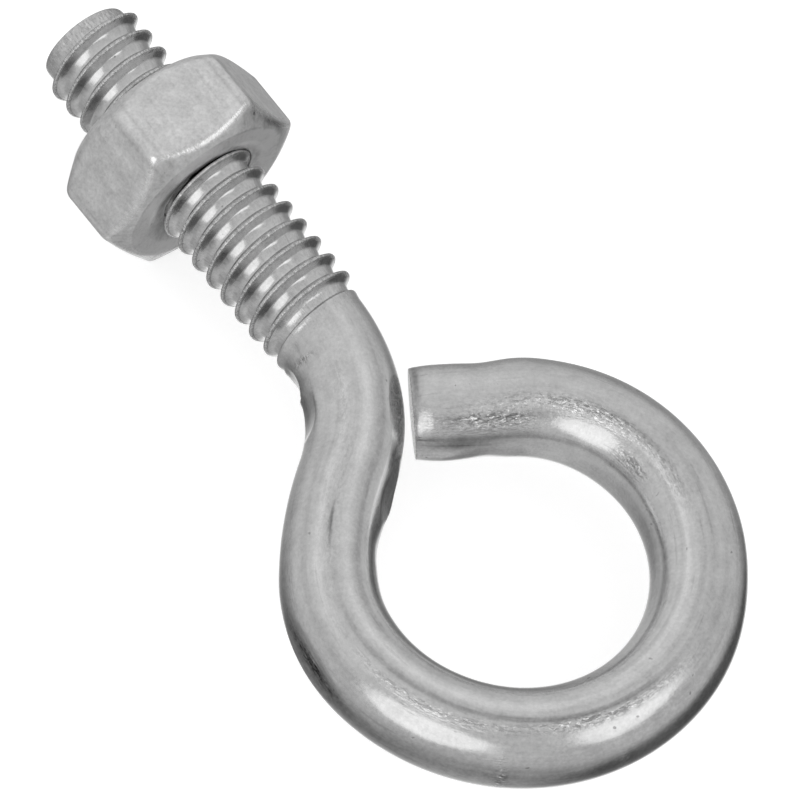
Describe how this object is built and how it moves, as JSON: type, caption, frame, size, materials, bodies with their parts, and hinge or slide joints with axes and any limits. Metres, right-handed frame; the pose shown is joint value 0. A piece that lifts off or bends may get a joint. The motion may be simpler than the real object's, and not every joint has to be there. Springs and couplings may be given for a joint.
{
  "type": "eye bolt",
  "caption": "Bent-wire eye bolt: a rod with a nearly closed round eye at one end and a rolled thread at the other, carrying a hex nut that runs along the thread.",
  "frame": {"origin": "centre of the shank's free end face", "axes": "+X along the shank's axis towards the eye; the wire is bent in the XY plane; +Z square to the eye"},
  "size_m": [0.0509, 0.0259, 0.0116],
  "materials": {
    "zinc_wire": "bright zinc plate over drawn wire",
    "zinc_nut": "bright zinc plate, slightly duller than the wire"
  },
  "bodies": {
    "bolt": {"eye_bolt": "zinc_wire"},
    "nut": {"hex_nut": "zinc_nut"}
  },
  "joints": [
    {"name": "nut_travel", "type": "slide", "parent": "bolt", "child": "nut", "axis": [1, 0, 0], "range_m": [-0.01143, 0.00889]}
  ]
}
